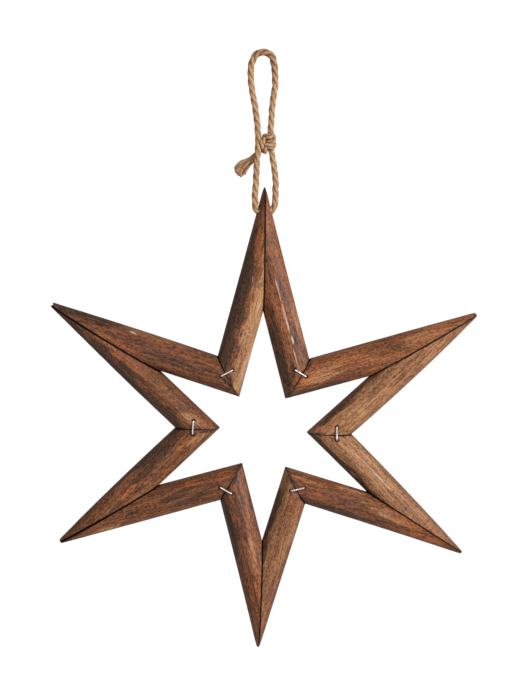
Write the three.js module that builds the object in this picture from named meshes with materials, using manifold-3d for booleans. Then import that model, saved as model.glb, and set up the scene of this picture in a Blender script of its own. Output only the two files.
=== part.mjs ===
// A hanging star made of twelve half-round wooden staves. Two staves meet in a long mitre at each of
// the six points, and neighbouring points are joined at six elbows by a mitre and a wire staple.
// A twine passes through a bore in the top point and is knotted into a hanging loop.
// Millimetres. +X is right, +Z is up, and the star's rounded front faces -Y. The origin is the
// underside of the twine at the top of its loop, where a nail or hook carries it.
import * as THREE from "three";
import { mergeVertices } from "three/addons/utils/BufferGeometryUtils.js";
import Module from "manifold-3d";

const wasm = await Module();
wasm.setup();

// The regular star that the hand-built one departs from.
const TIP_REACH = 205.5;
const NOTCH_REACH = 75.0;
const STAVE_WIDTH = 27.2;
const STAVE_DEPTH = 13.5;
const EDGE_HEIGHT = 3.0;
const SEAM_GAP = 0.8;
const MITRE_GAP = 0.4;
const ARCH_STEPS = 14;
const BOW_STEPS = 4;

// The twine and its bore.
const HOOK_TO_TIP = 114.9;
const TWINE_DIAMETER = 5.2;
const BORE_CLEARANCE = 1.2;
const BORE_BELOW_TIP = 21.3;
const BORE_ABOVE_BACK = 5.6;
const TOUCH_GAP = 0.35;

// The staples, bent from one thickness of square wire.
const CROWN_WIDTH = 13.5;
const WIRE = 1.3;
const LEG_LENGTH = 10.0;
const BEND_RADIUS = 1.6;
const LEG_CLEARANCE = 0.3;
const CROWN_STANDOFF = 0.3;

// How each point departs from the regular star: its reach, its lean in degrees anticlockwise, the
// width to which its sharp end is worn, and the degrees by which its long mitre is sawn off square.
const POINTS = [
  { name: "top", angle: 90, reach: 6.4, lean: -0.2, end: 1.8, bevel: 4.5 },
  { name: "upper_left", angle: 150, reach: 9.5, lean: -0.7, end: 3.7, bevel: -11 },
  { name: "lower_left", angle: 210, reach: -2.8, lean: -1.3, end: 4.0, bevel: -6.5 },
  { name: "bottom", angle: 270, reach: -16.0, lean: -1.5, end: 2.6, bevel: -5.5 },
  { name: "lower_right", angle: 330, reach: -2.2, lean: -1.8, end: 2.7, bevel: -1 },
  { name: "upper_right", angle: 30, reach: 5.8, lean: -1.5, end: 4.0, bevel: 6.5 },
];

// The elbows, each just after the point of the same place in the list above. The staple lies at a
// share of the mitre's length from the notch, turned by some degrees from square to the mitre.
const ELBOWS = [
  { name: "top_left", angle: 120, reach: 0.9, lean: 1.8, bevel: -6, staple: 0.42, turn: -1 },
  { name: "left", angle: 180, reach: 2.1, lean: -1.7, bevel: -8, staple: 0.4, turn: -4 },
  { name: "bottom_left", angle: 240, reach: -3.0, lean: -1.9, bevel: -2, staple: 0.27, turn: 1 },
  { name: "bottom_right", angle: 300, reach: -1.1, lean: -0.7, bevel: 4, staple: 0.4, turn: -15 },
  { name: "right", angle: 0, reach: 1.5, lean: -2.6, bevel: 8, staple: 0.33, turn: 3 },
  { name: "top_right", angle: 60, reach: -1.4, lean: -2.5, bevel: 8, staple: 0.36, turn: -1 },
];

// The staves in the same order round the star. Each is a split branch with its own width at the
// crotch of its point and at its elbow, given as departures from the usual width, and with an outer
// edge that bows out by a little.
const STAVES = [
  { name: "stave_top_left", crotch: 0.3, elbow: 0.4, bow: 0 },
  { name: "stave_upper_left_upper", crotch: -0.5, elbow: 0.5, bow: 0.6 },
  { name: "stave_upper_left_lower", crotch: -1.6, elbow: -0.4, bow: 0.9 },
  { name: "stave_lower_left_upper", crotch: -1.6, elbow: -0.6, bow: 0.9 },
  { name: "stave_lower_left_lower", crotch: -0.9, elbow: -0.7, bow: 0.1 },
  { name: "stave_bottom_left", crotch: -0.8, elbow: -0.6, bow: -0.2 },
  { name: "stave_bottom_right", crotch: -1.2, elbow: -0.9, bow: 0 },
  { name: "stave_lower_right_lower", crotch: -1.1, elbow: -1.2, bow: -0.3 },
  { name: "stave_lower_right_upper", crotch: -2.4, elbow: -0.9, bow: 0.8 },
  { name: "stave_upper_right_lower", crotch: -1.5, elbow: 0.1, bow: 1.4 },
  { name: "stave_upper_right_upper", crotch: 0.7, elbow: 0.9, bow: 0.2 },
  { name: "stave_top_right", crotch: 1.3, elbow: 1.6, bow: -0.2 },
];

// The twine's route. It leaves the knot's foot, goes down into the right mouth of the bore, through
// the point along the back of the bore, and out again to the left; these places are measured from the
// middle of the bore. Then it
// rises on the left, passes over the hook and ends in the knot's head, measured from the hook.
const ROUTE_AT_BORE = [
  [9.9, -0.2, 32.8], [10.5, -0.1, 24.9], [10.3, 0.1, 18.8], [10.3, 0.4, 13.2], [9.9, 0.7, 7.8],
  [9.0, 0.9, 3.6], [7.0, 1.0, 0.8], [4.6, 1.0, 0], [1.5, 1.0, 0], [-1.5, 1.0, 0], [-4.2, 1.0, 0],
  [-6.2, 1.0, 1.0], [-7.2, 0.8, 4.4], [-7.6, 0.4, 10.4], [-7.4, -0.1, 17.2], [-6.7, -0.9, 24.9],
  [-6.4, -1.6, 33.6],
];
const ROUTE_AT_HOOK = [
  [-5.9, -2.3, -92.0], [-5.3, -2.8, -85.7], [-4.9, -3.0, -80.0], [-4.7, -3.0, -73.9],
  [-4.9, -2.7, -67.8], [-6.0, -2.1, -56.4], [-7.2, -1.4, -47.0], [-8.6, -0.8, -39.0],
  [-10.1, -0.3, -30.5], [-11.1, 0, -22.0], [-11.3, 0, -14.0], [-10.3, 0, -6.6], [-8.0, 0, -1.2],
  [-4.6, 0, 1.8], [0, 0, 2.6], [4.6, 0, 1.4], [7.6, 0, -2.2], [9.2, 0, -8.4], [9.9, 0, -18.0],
  [10.1, 0, -25.5], [9.0, 0, -33.7], [7.9, 0, -40.6], [7.3, 0, -47.5], [6.7, -0.1, -56.4],
  [5.9, -0.3, -67.2],
];
const TWINE_STEPS = 76;
const TWINE_SIDES = 10;

// The knot, measured from the hook, and the frayed tail that runs down behind the left strand.
const KNOT_HEAD = [5.85, -0.3, -67.6];
const KNOT_FOOT = [6.6, -0.4, -83.2];
const KNOT_WIDTH = 11.4;
const WRAP_RADIUS = 3.9;
const WRAP_THICKNESS = 4.4;
const WRAP_TILTS = [26, -22];
const BIGHT = [1.9, -0.8, -82.4];
const BIGHT_WIDTH = 5.6;
const TAIL_ROUTE = [
  [3.4, 0.6, -72.5], [0.2, 1.4, -73.8], [-1.5, 2.0, -77.4], [-2.8, 2.6, -82.0], [-5.0, 3.0, -86.4],
  [-8.0, 3.0, -88.8], [-11.2, 2.6, -91.2],
];
const TAIL_STEPS = 12;
const TAIL_DIAMETER = 4.8;
const TUFT_LENGTH = 17.0;
const TUFT_WIDTH = 10.8;
const TUFT_DROP = 45;

const WOOD = new THREE.Color(0.19, 0.085, 0.045);
const STEEL = new THREE.Color(0.58, 0.59, 0.6);
const JUTE = new THREE.Color(0.5, 0.3, 0.15);

const woodFinish = new THREE.MeshStandardMaterial({ color: WOOD, roughness: 0.6, metalness: 0 });
const steelFinish = new THREE.MeshStandardMaterial({ color: STEEL, roughness: 0.3, metalness: 1 });
const juteFinish = new THREE.MeshStandardMaterial({ color: JUTE, roughness: 0.95, metalness: 0 });

// Solids for cutting and joining: a closed geometry becomes one, and comes back as a geometry.
function toSolid(geometry) {
  const bare = geometry.clone();
  bare.deleteAttribute("normal");
  bare.deleteAttribute("uv");
  const merged = mergeVertices(bare, 1e-4);
  const vertProperties = new Float32Array(merged.attributes.position.array);
  const triVerts = new Uint32Array(merged.index.array);
  return new wasm.Manifold(new wasm.Mesh({ numProp: 3, vertProperties, triVerts }));
}

function toGeometry(solid) {
  const { vertProperties, triVerts } = solid.getMesh();
  const geometry = new THREE.BufferGeometry();
  geometry.setAttribute("position", new THREE.BufferAttribute(vertProperties, 3));
  geometry.setIndex(new THREE.BufferAttribute(triVerts, 1));
  return geometry;
}

// Plan geometry, in the star's own plane: X right and Y up from the star's centre.
function polar(reach, degrees) {
  const a = THREE.MathUtils.degToRad(degrees);
  return new THREE.Vector2(reach * Math.cos(a), reach * Math.sin(a));
}

function lineThrough(a, b) {
  return { at: a.clone(), along: b.clone().sub(a).normalize() };
}

// The line moved sideways towards a point, by a distance.
function shifted(line, towards, distance) {
  const side = new THREE.Vector2(-line.along.y, line.along.x);
  if (side.dot(towards.clone().sub(line.at)) < 0) side.negate();
  return { at: line.at.clone().addScaledVector(side, distance), along: line.along.clone() };
}

function meet(a, b) {
  const t = b.at.clone().sub(a.at).cross(b.along) / a.along.cross(b.along);
  return a.at.clone().addScaledVector(a.along, t);
}

const count = POINTS.length;
const tipReach = (point) => TIP_REACH + point.reach;
const tipAt = (point) => polar(tipReach(point), point.angle + point.lean);
const notchAt = (elbow) => polar(NOTCH_REACH + elbow.reach, elbow.angle + elbow.lean);

// Stave number k runs between a point and an elbow. Its outer edge goes from the corner of the worn
// end to the notch, and its inner edge lies a stave's width inside it.
const edges = STAVES.map((stave, k) => {
  const point = POINTS[Math.ceil(k / 2) % count];
  const elbow = ELBOWS[Math.floor(k / 2)];
  const tip = tipAt(point);
  const notch = notchAt(elbow);
  const beside = polar(point.end / 2, point.angle + point.lean + (k % 2 ? -90 : 90));
  const outer = lineThrough(tip.clone().add(beside), notch);
  const length = notch.distanceTo(tip);
  const across = shifted(outer, new THREE.Vector2(), 1).at.sub(outer.at);
  const crotchWidth = STAVE_WIDTH + stave.crotch;
  const elbowWidth = STAVE_WIDTH + stave.elbow;
  const crotchEnd = tip.clone().lerp(notch, STAVE_WIDTH * 3.8 / length).addScaledVector(across, crotchWidth);
  const elbowEnd = notch.clone().addScaledVector(across, elbowWidth);
  return { point, elbow, outer, inner: lineThrough(crotchEnd, elbowEnd), tip, notch };
});

// The long mitre of each point and the short mitre of each elbow.
const tipSeams = POINTS.map((point, i) => {
  const before = edges[(2 * i - 1 + 2 * count) % (2 * count)];
  const after = edges[2 * i];
  return lineThrough(meet(before.outer, after.outer), meet(before.inner, after.inner));
});
const elbowSeams = ELBOWS.map((elbow, i) => {
  const [before, after] = [edges[2 * i], edges[2 * i + 1]];
  return lineThrough(meet(before.outer, after.outer), meet(before.inner, after.inner));
});

// The half-round section: the height of the front above the flat back, at a share of the width.
const archHeight = (share) =>
  EDGE_HEIGHT + (STAVE_DEPTH - EDGE_HEIGHT) * Math.sqrt(Math.max(0, 1 - (2 * share - 1) ** 2));

// Where the star hangs: its centre below the hook, and its flat back behind the bore.
const CENTRE_Z = -(HOOK_TO_TIP + tipReach(POINTS[0]));
const BACK_Y = BORE_ABOVE_BACK;
const place = (p, height) => [p.x, BACK_Y - height, CENTRE_Z + p.y];

// How far a mitre's front edge moves sideways per millimetre of its height.
function bevelled(from, to, degrees) {
  const along = to.clone().sub(from).normalize();
  return new THREE.Vector2(-along.y, along.x).multiplyScalar(Math.tan(THREE.MathUtils.degToRad(degrees)));
}

// A stave: rulings from its long mitre to its elbow mitre, over a half-round section. The rulings next
// to the outer edge start on the worn end instead, and they bow with that edge.
function staveGeometry(k) {
  const { point, elbow, outer, inner, tip, notch } = edges[k];
  const body = outer.at.clone().lerp(inner.at, 0.5).lerp(notch, 0.5);
  const tipSeam = shifted(tipSeams[Math.ceil(k / 2) % count], body, SEAM_GAP / 2);
  const elbowSeam = shifted(elbowSeams[Math.floor(k / 2)], body, MITRE_GAP / 2);
  const apex = meet(outer, tipSeam);
  const crotch = meet(inner, tipSeam);
  const outerNotch = meet(outer, elbowSeam);
  const innerElbow = meet(inner, elbowSeam);
  const axis = tip.clone().normalize();
  const wornLine = { at: tip, along: new THREE.Vector2(-axis.y, axis.x) };
  const beyond = (p) => p.dot(axis) - tipReach(point);
  const wornShare = beyond(apex) / (beyond(apex) - beyond(crotch));
  const arch = Array.from({ length: ARCH_STEPS + 1 }, (_, j) => (1 - Math.cos(Math.PI * j / ARCH_STEPS)) / 2);
  const shares = [...arch.filter((s) => Math.abs(s - wornShare) > 0.004 || s === 0), wornShare];
  shares.sort((a, b) => a - b);
  const tipLean = bevelled(apex, crotch, point.bevel);
  const elbowLean = bevelled(outerNotch, innerElbow, elbow.bevel);
  const outward = shifted(outer, body, 1).at.sub(outer.at).negate();
  const edgeLength = outer.at.distanceTo(notch);
  const positions = [];
  for (const share of shares) {
    const end = outerNotch.clone().lerp(innerElbow, share);
    const mitred = apex.clone().lerp(crotch, share);
    const start = share < wornShare ? meet(lineThrough(mitred, end), wornLine) : mitred;
    for (let i = 0; i <= BOW_STEPS; i++) {
      const p = start.clone().lerp(end, i / BOW_STEPS);
      const run = p.clone().sub(outer.at).dot(outer.along) / edgeLength;
      const clear = Math.max(0, 4 * run * (1 - run)) * (1 - share);
      p.addScaledVector(outward, STAVES[k].bow * clear);
      const front = p.clone();
      front.addScaledVector(tipLean, archHeight(share) * Math.min(1, share / wornShare) * (1 - i / BOW_STEPS));
      front.addScaledVector(elbowLean, archHeight(share) * i / BOW_STEPS);
      positions.push(...place(p, 0), ...place(front, archHeight(share)));
    }
  }
  const faces = [];
  const quad = (a, b, c, d) => faces.push(a, b, c, a, c, d);
  const row = 2 * (BOW_STEPS + 1);
  const last = row * (shares.length - 1);
  for (let j = 0; j < last; j += row) {
    for (let i = 0; i < 2 * BOW_STEPS; i += 2) {
      const [near, far] = [j + i, j + row + i];
      quad(near + 1, far + 1, far + 3, near + 3);
      quad(near, near + 2, far + 2, far);
    }
    const [near, far] = [j + row - 2, j + 2 * row - 2];
    quad(j, j + row, j + row + 1, j + 1);
    quad(near, near + 1, far + 1, far);
  }
  for (let i = 0; i < 2 * BOW_STEPS; i += 2) {
    quad(i, i + 1, i + 3, i + 2);
    quad(last + i, last + i + 2, last + i + 3, last + i + 1);
  }
  if (k % 2 === 0) faces.reverse();
  const geometry = new THREE.BufferGeometry();
  geometry.setAttribute("position", new THREE.Float32BufferAttribute(positions, 3));
  geometry.setIndex(faces);
  return geometry;
}

// Where a staple lies: its middle, and the direction of its crown.
function staplePlace(i) {
  const { elbow } = edges[2 * i];
  const seam = elbowSeams[i];
  const notch = meet(edges[2 * i].outer, edges[2 * i + 1].outer);
  const inside = meet(edges[2 * i].inner, edges[2 * i + 1].inner);
  const middle = notch.clone().lerp(inside, elbow.staple);
  const angle = seam.along.angle() + Math.PI / 2 + THREE.MathUtils.degToRad(elbow.turn);
  return { middle, angle };
}

const CROWN_UNDERSIDE = STAVE_DEPTH + CROWN_STANDOFF;

// The staple lies in its own XY plane, legs down, and is as thick as its wire along Z.
function stapleGeometry() {
  const half = CROWN_WIDTH / 2;
  const inner = half - WIRE;
  const top = WIRE;
  const foot = -LEG_LENGTH;
  const innerBend = BEND_RADIUS - WIRE / 2;
  const shape = new THREE.Shape();
  shape.moveTo(-half, foot + WIRE);
  shape.lineTo(-inner, foot);
  shape.lineTo(-inner, -innerBend);
  shape.absarc(-inner + innerBend, -innerBend, innerBend, Math.PI, Math.PI / 2, true);
  shape.lineTo(inner - innerBend, 0);
  shape.absarc(inner - innerBend, -innerBend, innerBend, Math.PI / 2, 0, true);
  shape.lineTo(inner, foot);
  shape.lineTo(half, foot + WIRE);
  shape.absarc(half - BEND_RADIUS, top - BEND_RADIUS, BEND_RADIUS, 0, Math.PI / 2, false);
  shape.absarc(-half + BEND_RADIUS, top - BEND_RADIUS, BEND_RADIUS, Math.PI / 2, Math.PI, false);
  const bevel = WIRE / 5;
  const geometry = new THREE.ExtrudeGeometry(shape, {
    depth: WIRE - 2 * bevel,
    curveSegments: 3,
    bevelThickness: bevel,
    bevelSize: bevel,
    bevelOffset: -bevel,
    bevelSegments: 1,
  });
  return geometry.translate(0, 0, bevel - WIRE / 2);
}

function legHoles(i) {
  const { middle, angle } = staplePlace(i);
  const apart = (CROWN_WIDTH - WIRE) / 2;
  const radius = WIRE / Math.SQRT2 + LEG_CLEARANCE;
  const depth = LEG_LENGTH + LEG_CLEARANCE;
  return [-apart, apart].map((offset) => {
    const hole = new THREE.CylinderGeometry(radius, radius, depth + STAVE_DEPTH, 12);
    const at = middle.clone().add(new THREE.Vector2(offset, 0).rotateAround(new THREE.Vector2(), angle));
    const bottom = CROWN_UNDERSIDE - depth;
    hole.translate(at.x, BACK_Y - bottom - (depth + STAVE_DEPTH) / 2, CENTRE_Z + at.y);
    return toSolid(hole);
  });
}

// A length of twine, or a slightly wider one to cut its channel.
function rope(route, radius, steps) {
  const path = new THREE.CatmullRomCurve3(route.map((p) => new THREE.Vector3(...p)), false, "centripetal");
  const section = new THREE.Shape().absarc(0, 0, radius, 0, 2 * Math.PI, false);
  return new THREE.ExtrudeGeometry(section, { steps, curveSegments: TWINE_SIDES / 2, extrudePath: path });
}

const BORE_Z = -(HOOK_TO_TIP + BORE_BELOW_TIP);
const twineRoute = [
  [KNOT_FOOT[0], KNOT_FOOT[1], KNOT_FOOT[2] - TOUCH_GAP], [7.3, -0.4, -87.0], [8.5, -0.3, -94.2],
  ...ROUTE_AT_BORE.map(([x, y, z]) => [x, y, BORE_Z + z]), ...ROUTE_AT_HOOK,
];

// The bore through the top point, with both mouths opened to the twine's bend.
function boreSolid() {
  const radius = TWINE_DIAMETER / 2 + BORE_CLEARANCE;
  const bore = new THREE.CylinderGeometry(radius, radius, 3 * STAVE_WIDTH, 20);
  bore.rotateZ(Math.PI / 2).translate(0, 0, BORE_Z);
  const channel = rope(twineRoute, TWINE_DIAMETER / 2 + TOUCH_GAP, TWINE_STEPS);
  return toSolid(bore).add(toSolid(channel));
}

// A round body along a straight axis, closed to a point at both ends.
function turned(from, direction, length, widthAt, rows, sides) {
  const profile = [new THREE.Vector2(0, 0)];
  for (let j = 0; j <= rows; j++) profile.push(new THREE.Vector2(widthAt(j / rows) / 2, length * j / rows));
  profile.push(new THREE.Vector2(0, length));
  const upright = new THREE.Quaternion().setFromUnitVectors(new THREE.Vector3(0, 1, 0), direction);
  return new THREE.LatheGeometry(profile, sides).applyQuaternion(upright).translate(...from);
}

// The knot: a ball of twine with two tilted wraps and a bight below, and the frayed tail fused to it.
function knotGeometry() {
  const head = new THREE.Vector3(...KNOT_HEAD);
  const foot = new THREE.Vector3(...KNOT_FOOT);
  const axis = head.clone().sub(foot);
  const swell = KNOT_WIDTH - TWINE_DIAMETER;
  const ball = (t) => TWINE_DIAMETER + swell * Math.sin(Math.PI * t) ** 0.6;
  let knot = toSolid(turned(KNOT_FOOT, axis.clone().normalize(), axis.length(), ball, 8, 16));
  const middle = foot.lerp(head, 0.5);
  for (const tilt of WRAP_TILTS) {
    const wrap = new THREE.TorusGeometry(WRAP_RADIUS, WRAP_THICKNESS / 2, 8, 18);
    wrap.rotateX(Math.PI / 2).rotateY(THREE.MathUtils.degToRad(tilt));
    knot = knot.add(toSolid(wrap.translate(middle.x, middle.y, middle.z + tilt / 12)));
  }
  knot = knot.add(toSolid(new THREE.SphereGeometry(BIGHT_WIDTH / 2, 12, 8).translate(...BIGHT)));
  const drop = THREE.MathUtils.degToRad(TUFT_DROP);
  const along = new THREE.Vector3(-Math.cos(drop), 0, -Math.sin(drop));
  const brush = (t) => {
    const spread = TAIL_DIAMETER + (TUFT_WIDTH - TAIL_DIAMETER) * Math.sin(Math.PI * Math.min(t, 0.8) / 1.6);
    return t > 0.7 ? spread * Math.sqrt(1 - ((t - 0.7) / 0.36) ** 2) : spread;
  };
  const neck = new THREE.Vector3(...TAIL_ROUTE[TAIL_ROUTE.length - 1]).addScaledVector(along, -1);
  return toGeometry(knot
    .add(toSolid(rope(TAIL_ROUTE, TAIL_DIAMETER / 2, TAIL_STEPS)))
    .add(toSolid(turned(neck.toArray(), along, TUFT_LENGTH, brush, 8, 12))));
}

function piece(name, geometry, finish) {
  const mesh = new THREE.Mesh(geometry, finish);
  mesh.name = name;
  geometry.computeVertexNormals();
  return mesh;
}

const star = new THREE.Group();
const bore = boreSolid();
STAVES.forEach((stave, k) => {
  let wood = toSolid(staveGeometry(k));
  for (const hole of legHoles(Math.floor(k / 2))) wood = wood.subtract(hole);
  if (edges[k].point === POINTS[0]) wood = wood.subtract(bore);
  star.add(piece(stave.name, toGeometry(wood), woodFinish));
});

ELBOWS.forEach((elbow, i) => {
  const { middle, angle } = staplePlace(i);
  const staple = piece("staple_" + elbow.name, stapleGeometry(), steelFinish);
  staple.rotation.set(Math.PI, -angle, 0, "YXZ");
  staple.position.set(middle.x, BACK_Y - CROWN_UNDERSIDE, CENTRE_Z + middle.y);
  star.add(staple);
});

star.add(piece("twine_loop", rope(twineRoute, TWINE_DIAMETER / 2, TWINE_STEPS), juteFinish));
star.add(piece("twine_knot", knotGeometry(), juteFinish));

export default star;
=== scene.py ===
import math

import bpy
import numpy as np
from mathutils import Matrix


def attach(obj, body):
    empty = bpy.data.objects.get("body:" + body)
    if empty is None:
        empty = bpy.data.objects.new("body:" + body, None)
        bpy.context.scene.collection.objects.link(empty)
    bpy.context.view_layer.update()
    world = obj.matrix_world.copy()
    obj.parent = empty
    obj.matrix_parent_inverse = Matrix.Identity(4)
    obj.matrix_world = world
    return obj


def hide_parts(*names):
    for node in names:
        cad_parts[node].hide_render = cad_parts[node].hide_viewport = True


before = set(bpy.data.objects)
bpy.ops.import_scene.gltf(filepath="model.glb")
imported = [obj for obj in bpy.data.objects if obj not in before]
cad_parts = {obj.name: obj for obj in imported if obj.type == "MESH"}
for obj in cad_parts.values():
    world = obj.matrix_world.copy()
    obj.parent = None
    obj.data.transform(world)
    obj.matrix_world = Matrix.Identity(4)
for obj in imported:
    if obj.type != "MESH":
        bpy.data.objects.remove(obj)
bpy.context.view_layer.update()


# The view and the light
# The star hangs free and is seen square from the front through a long lens. The picture is 525 by 700
# pixels, and one pixel is 0.8734 mm where the wood's outline lies.
MM = 0.001
PIXEL, PICTURE_ROWS = 0.8734 * MM, 700
VIEW_DISTANCE, OUTLINE_DEPTH = 2.2, 0.003
FRAME_MIDDLE = (-0.00105, -0.25705)
SENSOR = 36
camera_data = bpy.data.cameras.new("camera")
camera_data.sensor_width = SENSOR
camera_data.lens = SENSOR * (VIEW_DISTANCE + OUTLINE_DEPTH) / (PICTURE_ROWS * PIXEL)
camera_data.clip_end = 20
camera = bpy.data.objects.new("camera", camera_data)
camera.location = (FRAME_MIDDLE[0], -VIEW_DISTANCE, FRAME_MIDDLE[1])
camera.rotation_euler = (math.pi / 2, 0, 0)
bpy.context.collection.objects.link(camera)
bpy.context.scene.camera = camera
bpy.context.scene.view_settings.view_transform = "Standard"

# The white surroundings light the star at one strength, and the camera sees them at another.
LIGHTS_AT, SEEN_AT = 0.5, 1.05
world = bpy.data.worlds.new("studio")
bpy.context.scene.world = world
world.use_nodes = True
backdrop = world.node_tree.nodes["Background"]
seen = world.node_tree.nodes.new("ShaderNodeLightPath")
brightness = world.node_tree.nodes.new("ShaderNodeMapRange")
brightness.inputs["To Min"].default_value = LIGHTS_AT
brightness.inputs["To Max"].default_value = SEEN_AT
world.node_tree.links.new(seen.outputs["Is Camera Ray"], brightness.inputs["Value"])
world.node_tree.links.new(brightness.outputs["Result"], backdrop.inputs["Strength"])
backdrop.inputs["Color"].default_value = (1, 1, 1, 1)


def softbox(name, at, size, power, aim=(0, 0, -0.3)):
    """A square area light at a place, turned to face another place."""
    data = bpy.data.lights.new(name, "AREA")
    data.size, data.energy = size, power
    light = bpy.data.objects.new(name, data)
    light.location = at
    gaze = [a - b for a, b in zip(aim, at)]
    rise = math.atan2(gaze[2], math.hypot(gaze[0], gaze[1]))
    light.rotation_euler = (math.pi / 2 + rise, 0, math.atan2(-gaze[0], gaze[1]))
    bpy.context.collection.objects.link(light)


softbox("key_light", (2.0, -1.6, 0.4), size=0.7, power=95)
softbox("fill_light", (-1.3, -1.6, 0.1), size=0.9, power=5)
softbox("front_light", (0.3, -2.4, 0.3), size=0.45, power=9)


# The hanging twine
# One length of three-strand natural jute, about 5 mm thick. It leaves the knot's foot, passes through
# the bore in the top point, rises on the left, goes over the hook and comes down into the knot.
TWINE, STRANDS = 5.2, 3
BORE_Z = -136.2
ROUTE_AT_KNOT = [(6.6, -0.4, -83.55), (7.3, -0.4, -87.0), (8.5, -0.3, -94.2)]
ROUTE_AT_BORE = [(9.9, -0.2, 32.8), (10.5, -0.1, 24.9), (10.3, 0.1, 18.8), (10.3, 0.4, 13.2),
                 (9.9, 0.7, 7.8), (9.0, 0.9, 3.6), (7.0, 1.0, 0.8), (4.6, 1.0, 0), (1.5, 1.0, 0),
                 (-1.5, 1.0, 0), (-4.2, 1.0, 0), (-6.2, 1.0, 1.0), (-7.2, 0.8, 4.4), (-7.6, 0.4, 10.4),
                 (-7.4, -0.1, 17.2), (-6.7, -0.9, 24.9), (-6.4, -1.6, 33.6)]
ROUTE_AT_HOOK = [(-5.9, -2.3, -92.0), (-5.3, -2.8, -85.7), (-4.9, -3.0, -80.0), (-4.7, -3.0, -73.9),
                 (-4.9, -2.7, -67.8), (-6.0, -2.1, -56.4), (-7.2, -1.4, -47.0), (-8.6, -0.8, -39.0),
                 (-10.1, -0.3, -30.5), (-11.1, 0, -22.0), (-11.3, 0, -14.0), (-10.3, 0, -6.6),
                 (-8.0, 0, -1.2), (-4.6, 0, 1.8), (0, 0, 2.6), (4.6, 0, 1.4), (7.6, 0, -2.2),
                 (9.2, 0, -8.4), (9.9, 0, -18.0), (10.1, 0, -25.5), (9.0, 0, -33.7), (7.9, 0, -40.6),
                 (7.3, 0, -47.5), (6.7, -0.1, -56.4), (5.9, -0.3, -67.2)]
LOOP_ROWS, STRAND_SIDES, LAY = 900, 16, 25.0
# At shares of its length, how thick it is, as shares of TWINE, and how much painted shade darkens it over
# the hook.
SWELL = [(0, 0.1, 0.2, 0.45, 0.62, 0.7, 0.76, 0.84, 1),
         (1.02, 1.06, 1.1, 1.06, 1.07, 1.16, 1.22, 1.08, 1.04)]
HOOK_ARC_SHADE = [(0.66, 0.72, 0.79, 0.85), (0, 0.3, 0.3, 0)]
STRAY_HAIRS, HAIR = 150, 0.14
# The fibres' dark and light tones, an aged tone, and the colour of the painted shade in grooves and
# hollows.
FIBRE_DARK, FIBRE_LIGHT = (0.155, 0.073, 0.03, 1), (0.53, 0.325, 0.18, 1)
FIBRE_AGED, FIBRE_SHADED = (0.23, 0.11, 0.045, 1), (0.12, 0.045, 0.013, 1)


class Socket:
    """An output socket that takes part in arithmetic and makes the nodes for it."""

    def __init__(self, tree, out):
        self.tree, self.out = tree, out

    def node(self, kind, values=None, out=0, **settings):
        """A node of a kind with settings and socket values, given by name or number."""
        n = self.tree.nodes.new("ShaderNode" + kind)
        for key, value in settings.items():
            setattr(n, key, value)
        for key, value in (values or {}).items():
            if isinstance(value, Socket):
                self.tree.links.new(value.out, n.inputs[key])
            else:
                n.inputs[key].default_value = value
        return Socket(self.tree, n.outputs[out])

    def math(self, operation, *others):
        """A Math node of this and other sockets or numbers."""
        return self.node("Math", dict(enumerate((self, *others))), operation=operation)

    def __add__(self, other):
        return self.math("ADD", other)

    def __sub__(self, other):
        return self.math("SUBTRACT", other)

    def __mul__(self, other):
        return self.math("MULTIPLY", other)

    def __rsub__(self, other):
        return self.node("Math", {0: other, 1: self}, operation="SUBTRACT")

    __radd__, __rmul__ = __add__, __mul__

    def step(self, low, high):
        """From 0 at low to 1 at high, smoothly."""
        return self.node("MapRange", {"Value": self, "From Min": low, "From Max": high},
                         interpolation_type="SMOOTHSTEP")

    def mix(self, a, b):
        """Colour a where this is 0, colour b where it is 1."""
        return self.node("Mix", {0: self, 6: a, 7: b}, out=2, data_type="RGBA")

    def node_parts(self):
        """The three numbers of a vector."""
        parts = self.node("SeparateXYZ", {0: self})
        return [Socket(self.tree, out) for out in parts.out.node.outputs]

    def stretched(self, *scale):
        """A vector with each of its numbers scaled."""
        return self.node("VectorMath", {0: self, 1: scale}, operation="MULTIPLY")

    def noise(self, detail=3, rough=0.55, warp=0.0):
        """Noise over a vector, of about one swell in a length of 1."""
        return self.node("TexNoise", {"Vector": self, "Scale": 1.0, "Detail": detail,
                                      "Roughness": rough, "Distortion": warp})


def material(name, **fixed):
    """A Principled material with its unvarying values set, and a Socket to start its nodes from."""
    m = bpy.data.materials.new(name)
    m.use_nodes = True
    shader = m.node_tree.nodes["Principled BSDF"]
    for key, value in fixed.items():
        shader.inputs[key.replace("_", " ")].default_value = value
    return m, shader, Socket(m.node_tree, shader.outputs[0])


def feed(shader, **sockets):
    """The shader's sockets, given by name, linked to what varies over the surface."""
    for key, value in sockets.items():
        value.tree.links.new(value.out, shader.inputs[key.replace("_", " ")])


def mesh_piece(name, points, faces, finish, node, fields):
    """A mesh object from points in millimetres, with fields of one or three numbers on its points. It
    rides on the one body, and stands for a node of the solids."""
    points = points.reshape(-1, 3)
    mesh = bpy.data.meshes.new(name)
    mesh.from_pydata((points * MM).tolist(), [], faces)
    mesh.polygons.foreach_set("use_smooth", np.full(len(mesh.polygons), True))
    for key, values in fields.items():
        kind, item = ("FLOAT", "value") if values.size == len(points) else ("FLOAT_VECTOR", "vector")
        layer = mesh.attributes.new(key, kind, "POINT")
        layer.data.foreach_set(item, values.astype(np.float32).ravel())
    mesh.materials.append(finish)
    piece = bpy.data.objects.new(name, mesh)
    bpy.context.collection.objects.link(piece)
    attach(piece, "root")
    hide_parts(node)
    return piece


def grid_faces(rows, columns):
    """Quads over a grid of rows by columns points that is closed round its columns."""
    r, c = np.meshgrid(np.arange(rows - 1), np.arange(columns), indexing="ij")
    here, above, after = r * columns, (r + 1) * columns, (c + 1) % columns
    return np.stack([here + c, here + after, above + after, above + c], -1).reshape(-1, 4)


def tube_faces(rows, sides):
    """The quads of a tube of rows rings, and one flat face over each of its ends."""
    caps = [list(range(sides - 1, -1, -1)), list(range((rows - 1) * sides, rows * sides))]
    return grid_faces(rows, sides).tolist() + caps


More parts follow.
